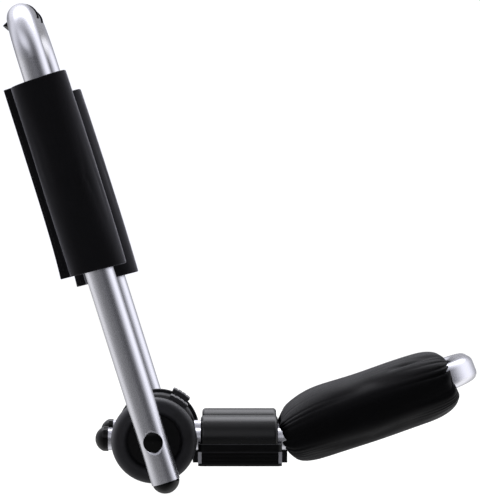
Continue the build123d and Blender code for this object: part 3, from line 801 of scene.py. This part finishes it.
class CARRIER_OT_upright_pads(bpy.types.Operator):
    """Sew the two sleeve pads onto the legs"""
    bl_idname = "carrier.upright_pads"
    bl_label = "Upright pads"

    # Sleeve: the skin's mesh, and the room that its section leaves for the cloth to swell
    segments = 88
    rows = 60
    ends = ClosedEnd(face_rows=5, round_rows=3, rounding=1.4 * MM, tuck=1 * MM)
    cloth_length = 200 * MM
    squareness = 2.7
    edge_room, face_room = 1 * MM, 1.5 * MM
    sag_depth, sag_round, sag_along = 0.7 * MM, 0.8, 14
    held_angle = 0.14  # skin beside the seam that the filling leaves alone

    # Seam: its mesh, and its thickness as a share at the edge and a gain towards the root
    seam_rows, seam_columns = 40, 3
    seam_cloth = 0.08  # share of the cloth's width that the seam takes up
    seam_overlap = 4 * MM
    edge_share, root_gain = 0.8, 0.5
    flare_power = 6
    ripple_depth, ripple_rate = 1.1 * MM, 30
    bevel_angle, bevel_size = 0.8, 0.8 * MM

    # Stitches: their line behind the seam's middle, their height on a face and their thread
    stitch_setback = 0.5 * MM
    stitch_level = 0.52
    stitch_ripple, stitch_root = 0.6 * MM, 0.4
    thread_radii = (0.45 * MM, 0.4 * MM)

    def execute(self, context):
        settings = context.scene.carrier
        sizes = settings.pads
        round_pad = pi * (sizes.front + sizes.back + 2 * sizes.half_depth) / 2
        nylon = woven_nylon("pad_nylon", settings.colours.pad_nylon, roughness=0.6, specular=0.07,
                            sheen=0.53, cut=(round_pad, self.cloth_length))
        thread = twisted_thread("pad_thread", settings.colours.thread)
        for side, sign, seed in (("near", -1, 3.1), ("far", 1, 17.7)):
            pad = Pad(sizes, f"upright_pad_{side}", sign * LEG_OFFSET, seed)
            self.sew(pad, side, nylon, thread)
        return {"FINISHED"}

    def sew(self, pad, side, nylon, thread):
        sleeve = self.sleeve(pad, f"pad_sleeve_{side}", nylon)
        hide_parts(pad.node)
        seam = self.seam(pad, f"pad_seam_{side}", nylon)
        stitches = self.stitches(pad, f"pad_stitches_{side}", thread)
        for piece in (sleeve, seam, stitches):
            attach(piece, "upright")

    def sleeve(self, pad, name, nylon):
        """Foam sleeve: a rounded skin that turns in at both ends to the leg."""
        sizes = pad.sizes
        middle = (sizes.front - sizes.back) / 2 + pad.shift
        half_x = (sizes.front + sizes.back) / 2 - self.edge_room
        half_y = sizes.half_depth - self.face_room
        bm = unit_sleeve(self.segments, self.rows)
        freedom = []
        for vertex in bm.verts:
            angle = atan2(vertex.co.y, vertex.co.x)
            turn = self.ends.at(round(vertex.co.z * self.rows), self.rows, pad.start, pad.end)
            x, y = superellipse(angle, half_x, half_y, self.squareness)
            skin = Vector((x + middle, y))
            mouth = Vector((sizes.mouth * cos(angle), sizes.mouth * sin(angle)))
            spot = turn.inward(skin, mouth)
            cloud = Vector((angle * self.sag_round, turn.along * self.sag_along, pad.seed))
            sag = noise.noise(cloud) * self.sag_depth
            vertex.co = pad.place(spot.x + cos(angle) * sag, spot.y + sin(angle) * sag, turn.along)
            held = turn.closed > 0.5 or abs(abs(angle) - pi) < self.held_angle
            freedom.append(0.0 if held else 1.0)
        piece = piece_from(bm, name, nylon)
        fill_skin(piece, freedom, pressure=2.0, frames=14, cap=sizes.swell, give=0.5 * MM)
        subdivide_once(piece)
        return piece

    def ripple(self, pad, along, root):
        """How far the seam waves to a side, from -1 to 1."""
        return noise.noise(Vector((along * self.ripple_rate, pad.seed, root)))

    def seam(self, pad, name, nylon):
        """Flat closure along the back edge of a sleeve."""
        sizes = pad.sizes
        bm = bmesh.new()
        bmesh.ops.create_cube(bm, size=1)
        for axis, cuts in ((2, self.seam_rows), (0, self.seam_columns)):
            bmesh.ops.subdivide_edges(bm, edges=edges_along(bm, axis), cuts=cuts)
        cloth = bm.loops.layers.uv.new(CLOTH_MAP)
        for face in bm.faces:
            for loop in face.loops:
                loop[cloth].uv = (loop.vert.co.x * self.seam_cloth, loop.vert.co.z)
        for vertex in bm.verts:
            root, height = vertex.co.x + 0.5, vertex.co.z + 0.5
            along = pad.start + (pad.end - pad.start) * height
            reach = sizes.seam_reach + sizes.flare * (1 - height) ** self.flare_power
            thickness = sizes.seam_thickness * (self.edge_share + self.root_gain * root)
            wave = self.ripple(pad, along, root) * self.ripple_depth * (1 - root)
            x = pad.shift - reach + (reach - sizes.back + self.seam_overlap) * root
            vertex.co = pad.place(x, vertex.co.y * thickness + wave, along)
        sharp = [edge for edge in bm.edges if edge.calc_face_angle(0) > self.bevel_angle]
        bmesh.ops.bevel(bm, geom=sharp, offset=self.bevel_size, segments=3, profile=0.5,
                        affect="EDGES", material=-1)
        return piece_from(bm, name, nylon)

    def stitches(self, pad, name, thread):
        """A row of stitches on each face of the seam."""
        sizes = pad.sizes
        bm = bmesh.new()
        count = int((pad.end - pad.start) / sizes.stitch_pitch) - 1
        column = pad.shift - (sizes.seam_reach + sizes.back) / 2 - self.stitch_setback
        frame_turn = Matrix((LEG_FRONT, ACROSS, LEG_UP)).transposed().to_4x4()
        shape = Matrix.Diagonal((*self.thread_radii, sizes.stitch_length / 2, 1))
        for number in range(count):
            along = pad.start + (number + 1) * sizes.stitch_pitch
            wave = self.ripple(pad, along, self.stitch_root) * self.stitch_ripple
            for face in (-1, 1):
                level = face * sizes.seam_thickness * self.stitch_level
                spot = Matrix.Translation(pad.place(column, level + wave, along))
                bmesh.ops.create_icosphere(bm, subdivisions=1, radius=1,
                                           matrix=spot @ frame_turn @ shape)
        return piece_from(bm, name, thread)


class CARRIER_OT_cushion(bpy.types.Operator):
    """Make the gathered cushion round the cradle arms"""
    bl_idname = "carrier.cushion"
    bl_label = "Cradle cushion"

    # The skin's mesh, and the room that its section leaves for the cloth to swell
    segments = 184
    rows = 84
    ends = ClosedEnd(face_rows=10, round_rows=6, rounding=9 * MM, tuck=3 * MM)
    cloth_length = 260 * MM
    girth = 3.4  # length round the section, over its mean half size
    squareness = 3.0
    room = 3 * MM
    lump_depth, lump_rate, lump_level = 1.2 * MM, 16, 5

    # Outline: lower on top towards the clamp and halfway, and higher below towards the tip
    near_slope, near_drop = 50 * MM, 8 * MM
    waist, waist_spread, waist_drop = 82 * MM, 28 * MM, 1 * MM
    tail, tail_slope, tail_lift = 140 * MM, 30 * MM, 4 * MM

    # Mouths: share of the skin that wraps an arm, how far it reaches round, and the lips between
    near_level = 2.5 * MM
    arm_share, arm_wrap = radians(59), radians(150)
    lip_taper = 4

    # Bulges: outside the clamp's seat at the near end, and below the tip at the far one
    bulge_run = 40 * MM
    near_bulge, near_middle, near_spread = 6 * MM, 3 * MM, 21 * MM
    seat_edge, seat_fade = 36 * MM, 14 * MM
    far_bulge, far_fade = 2.5 * MM, 15 * MM

    # Gathering folds: how they wander round an end, how far they run and how their depth varies
    near_seed, far_seed, vary_seed = 2.0, 9.0, 4
    wander_rate, vary_rate = 2, 5
    wander_turn = 5
    fold_run, fold_run_vary = 18 * MM, 16 * MM
    fold_share, fold_vary, fold_least = 0.55, 0.8, -0.4
    far_gain = 1.5

    # Slack fold on each side: its middle and reach along the cushion, and its slant
    near_crease = (142 * MM, 30 * MM, 4.0)
    far_crease = (40 * MM, 34 * MM, -5.0)
    crease_angle, crease_width = radians(62), radians(5)

    def execute(self, context):
        settings = context.scene.carrier
        sizes = settings.cushion
        round_cushion = self.girth * (sizes.half_width + (sizes.above + sizes.below) / 2)
        nylon = woven_nylon("cushion_nylon", settings.colours.cushion_nylon, roughness=0.43,
                            specular=0.055, sheen=0.02, cut=(round_cushion, self.cloth_length))
        piece = self.skin(sizes, nylon)
        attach(piece, "base")
        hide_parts("cradle_pad")
        return {"FINISHED"}

    def skin(self, sizes, nylon):
        bm = unit_sleeve(self.segments, self.rows)
        rest, freedom, folds = [], [], []
        for vertex in bm.verts:
            angle = atan2(vertex.co.y, vertex.co.x)
            row = round(vertex.co.z * self.rows)
            turn = self.ends.at(row, self.rows, sizes.start, sizes.end)
            skin = self.section(sizes, angle, turn.along)
            spot = turn.inward(skin, self.mouth(sizes, angle, row < self.rows / 2))
            laid = spot.lerp(skin, 0.5)
            rest.append(self.place(turn.laid_out, laid.x, laid.y))
            lump = ring_noise(angle, 1, self.lump_level + turn.along * self.lump_rate)
            lump *= self.lump_depth
            vertex.co = self.place(turn.along + self.bulge(sizes, spot, turn.along),
                                   spot.x + cos(angle) * lump, spot.y + sin(angle) * lump)
            freedom.append(0.0 if row in (0, self.rows) else 1.0)
            folds.append(self.fold(sizes, angle, turn) + self.crease(sizes, angle, turn.along))
        piece = piece_from(bm, "cradle_cushion", nylon)
        fill_skin(piece, freedom, pressure=9.0, frames=24, cap=sizes.swell, give=1.2 * MM,
                  rest=rest)
        settle(piece, freedom, passes=16)
        vertices = piece.data.vertices
        sunk = [vertex.co - vertex.normal * depth for vertex, depth in zip(vertices, folds)]
        for vertex, place in zip(vertices, sunk):
            vertex.co = place
        subdivide_once(piece)
        return piece

    def section(self, sizes, angle, along):
        """Outline of the filled cushion, across and up from the arms' plane."""
        near_drop = self.near_drop * max(0.0, 1 - along / self.near_slope) ** 2
        waist_drop = self.waist_drop * bell(along, self.waist, self.waist_spread)
        tail_lift = self.tail_lift * max(0.0, (along - self.tail) / self.tail_slope) ** 2
        above = sizes.above - self.room - near_drop - waist_drop
        below = sizes.below - self.room - tail_lift
        across, up = superellipse(angle, sizes.half_width - self.room, 1.0, self.squareness)
        return Vector((across, up * (above if up > 0 else below)))

    def mouth(self, sizes, angle, near):
        """Edge of an end's opening: drawn round each arm and shut between them."""
        offset, half_width, half_height, level = ARM_OFFSET, ARM_RADIUS, ARM_RADIUS, self.near_level
        if not near:
            offset, half_width, half_height = TIP_OFFSET, TIP_HALF_WIDTH, TIP_HALF_HEIGHT
            level = sizes.end * sin(CRADLE_RISE - CUSHION_RISE)
        half_width += sizes.clearance
        half_height += sizes.clearance
        join, wrap = self.arm_share, self.arm_wrap
        slope = slope_of(angle)
        if abs(slope) < join:
            round_arm = slope / join * wrap
            across, up = offset + half_width * cos(round_arm), half_height * sin(round_arm)
        else:
            share = (abs(slope) - join) / (pi / 2 - join)
            across = (offset + half_width * cos(wrap)) * (1 - share)
            gap = half_height * sin(wrap) * (1 - self.lip_taper * share)
            up = copysign(max(sizes.lips, gap), slope)
        return Vector((copysign(across, cos(angle)), level + up))

    def bulge(self, sizes, spot, along):
        """How far a point of the skin swells out past its end."""
        near = max(0.0, 1 - (along - sizes.start) / self.bulge_run)
        far = max(0.0, 1 - (sizes.end - along) / self.bulge_run)
        outside = clamped((abs(spot.x) - self.seat_edge) / self.seat_fade)
        middle = arch(spot.y, self.near_middle, self.near_spread)
        lower = clamped(-spot.y / self.far_fade)
        return self.far_bulge * lower * far ** 2 - self.near_bulge * middle * outside * near ** 2

    def fold(self, sizes, angle, turn):
        """Depth of the gathering folds, which fade away from the ends."""
        from_start, from_end = turn.along - sizes.start, sizes.end - turn.along
        near = from_start < from_end
        seed = self.near_seed if near else self.far_seed
        wander = ring_noise(angle, self.wander_rate, seed)
        vary = ring_noise(angle, self.vary_rate, seed + self.vary_seed)
        phase = angle * sizes.folds / 2 + self.wander_turn * wander
        valley = (1 - abs(sin(phase))) ** 2
        run = self.fold_run + self.fold_run_vary * max(0.0, vary)
        fade = exp(-min(from_start, from_end) / run) * (1 - turn.closed ** 2)
        share = self.fold_share + self.fold_vary * max(self.fold_least, vary)
        return sizes.fold_depth * valley * fade * share * (1.0 if near else self.far_gain)

    def crease(self, sizes, angle, along):
        """Depth of the slack fold: towards the tip on the near side, the clamp on the far one."""
        middle, reach, slant = self.near_crease if cos(angle) < 0 else self.far_crease
        line = self.crease_angle + (along - middle) * slant
        across_line = bell(slope_of(angle), line, self.crease_width)
        return sizes.crease_depth * arch(along, middle, reach) * across_line

    def place(self, along, across, up):
        return CRADLE_CORNER + CUSHION_OUT * along + CUSHION_UP * up + ACROSS * across


def aim(thing, target):
    """Turn a lamp or the camera to face a point."""
    way = Vector(target) - thing.location
    thing.rotation_euler = way.to_track_quat("-Z", "Y").to_euler()


class CARRIER_OT_stage(bpy.types.Operator):
    """Lay the floor, hang the lights and set the camera"""
    bl_idname = "carrier.stage"
    bl_label = "Stage"

    floor_size = 12
    floor_white, floor_glow = 1.12, 0.88
    sky_white, sky_colour = 1.1, (0.94, 0.945, 1, 1)
    lamp_target = (0, 0, 0.2)
    lamps = (  # name, place, size and power
        ("overhead", (0.1, 1.1, 2.1), 1.6, 45),
        ("left_wash", (-1.8, 0.6, 1.3), 1.2, 90),
        ("right_wash", (2.2, 0.8, 0.8), 1.5, 85),
    )
    sight = 50  # how far the camera sees

    def execute(self, context):
        settings = context.scene.carrier
        self.floor(settings)
        self.lights()
        self.sky(context.scene)
        self.camera(context.scene, settings.stage)
        context.scene.view_settings.view_transform = "Standard"
        return {"FINISHED"}

    def floor(self, settings):
        """White paper to the camera; to every other ray a dimmer continuation of the walls."""
        bm = bmesh.new()
        drop = Matrix.Translation((0, 0, CAD_BOX[0][2] - settings.stage.floor_drop))
        bmesh.ops.create_grid(bm, x_segments=1, y_segments=1, size=self.floor_size, matrix=drop)
        look = Finish("stage_paper", settings.colours.stage, roughness=0.9)
        onward = look.add("ShaderNodeVectorMath", operation="SCALE")
        onward.inputs["Scale"].default_value = -1.0
        look.link(look.add("ShaderNodeNewGeometry").outputs["Incoming"], onward.inputs[0])
        # For every other ray the glow is dimmer in front of the object and near it: painted shade
        # on the floor round the object.
        depth = look.split(look.place)["Y"]
        behind = look.ramp(depth, (-0.35, -0.1), (0.0, 0.85))
        outer = look.ramp(look.length(look.place), (0.25, 1.5), (0.35, 0.85))
        share = look.math("MAXIMUM", behind, outer)
        walls = look.times(self.walls(look, look.split(onward.outputs[0])), share)
        path = look.add("ShaderNodeLightPath").outputs
        seen = look.times(path["Is Camera Ray"], self.floor_white)
        glow = look.add("ShaderNodeEmission")
        look.link(look.math("MAXIMUM", seen, walls), glow.inputs["Strength"])
        mix = look.add("ShaderNodeMixShader")
        mix.inputs[0].default_value = self.floor_glow
        look.link(look.shader.outputs[0], mix.inputs[1])
        look.link(glow.outputs[0], mix.inputs[2])
        look.link(mix.outputs[0], look.tree.nodes["Material Output"].inputs["Surface"])
        piece_from(bm, "stage_floor", look.material)

    def walls(self, tree, way):
        """Brightness of the walls: dim behind the camera, bright at the sides, grey far back."""
        left = tree.ramp(way["Y"], (-1.0, 0.45), (0.17, 1.1))
        right = tree.ramp(way["Y"], (-0.8, 0.15), (0.09, 1.6))
        side = tree.mix(tree.ramp(way["X"], (-0.1, 0.5), (0.0, 1.0)), left, right)
        return tree.times(side, tree.ramp(way["Y"], (0.35, 0.9), (1.0, 0.3)))

    def lights(self):
        """An overhead softbox and two side washes, which light but aren't mirrored."""
        for name, place, size, power in self.lamps:
            lamp = bpy.data.lights.new(name, "AREA")
            lamp.energy = power
            lamp.size = size
            light = bpy.data.objects.new(name, lamp)
            light.location = place
            light.visible_glossy = False
            aim(light, self.lamp_target)
            bpy.context.scene.collection.objects.link(light)

    def sky(self, scene):
        """White to the camera, and a soft light; mirrors show walls, a left box and a top box."""
        world = bpy.data.worlds.new("studio")
        world.use_nodes = True
        scene.world = world
        sky = Tree(world.node_tree)
        path = sky.add("ShaderNodeLightPath").outputs
        way = sky.split(sky.add("ShaderNodeTexCoord").outputs["Generated"])
        height = sky.times(sky.ramp(way["Z"], (0.12, 0.4), (0.0, 1.2)),
                           sky.ramp(way["Z"], (0.55, 0.9), (1.0, 0.4)))
        width = sky.times(sky.ramp(way["X"], (-0.95, -0.6), (0.55, 1.0)),
                          sky.ramp(way["X"], (-0.4, 0.45), (1.0, 0.15)))
        top_box = sky.times(sky.ramp(way["Z"], (0.45, 0.9), (0.0, 4.0)),
                            sky.ramp(way["Y"], (0.0, 0.35), (0.0, 1.0)))
        boxes = sky.math("MAXIMUM", sky.times(height, width), top_box)
        mirrored = sky.math("MAXIMUM", self.walls(sky, way), boxes)
        ambient = sky.ramp(way["Y"], (-0.2, 0.6), (0.02, 0.4))
        light = sky.mix(path["Is Glossy Ray"], ambient, mirrored)
        white = sky.times(path["Is Camera Ray"], self.sky_white)
        back = world.node_tree.nodes["Background"]
        sky.link(sky.math("MAXIMUM", light, white), back.inputs["Strength"])
        back.inputs["Color"].default_value = self.sky_colour

    def camera(self, scene, sizes):
        lens = bpy.data.cameras.new("camera")
        lens.lens = lens.sensor_width * sizes.distance / sizes.frame_height
        lens.clip_end = self.sight
        eye = bpy.data.objects.new("camera", lens)
        eye.location = (sizes.eye_shift, -sizes.distance, sizes.eye_height)
        aim(eye, (0, 0, sizes.aim_height))
        scene.collection.objects.link(eye)
        scene.camera = eye


OPERATORS = (
    CARRIER_OT_tubes,
    CARRIER_OT_plugs,
    CARRIER_OT_hinges,
    CARRIER_OT_fasteners,
    CARRIER_OT_springs,
    CARRIER_OT_clamp,
    CARRIER_OT_upright_pads,
    CARRIER_OT_cushion,
    CARRIER_OT_stage,
)


class CARRIER_PT_pieces(bpy.types.Panel):
    """Lists the carrier's pieces"""
    bl_idname = "CARRIER_PT_pieces"
    bl_label = "Kayak carrier"
    bl_space_type = "VIEW_3D"
    bl_region_type = "UI"
    bl_category = "Carrier"

    def draw(self, context):
        for operator in OPERATORS:
            self.layout.operator(operator.bl_idname)


CLASSES = (CarrierColours, PadSizes, CushionSizes, SpringSizes, StageSizes, CarrierSettings,
           *OPERATORS, CARRIER_PT_pieces)


def register():
    for item in CLASSES:
        bpy.utils.register_class(item)
    bpy.types.Scene.carrier = PointerProperty(type=CarrierSettings)


def unregister():
    del bpy.types.Scene.carrier
    for item in reversed(CLASSES):
        bpy.utils.unregister_class(item)


def main():
    register()
    for operator in OPERATORS:
        group, name = operator.bl_idname.split(".")
        getattr(getattr(bpy.ops, group), name)()


if __name__ == "__main__":
    main()
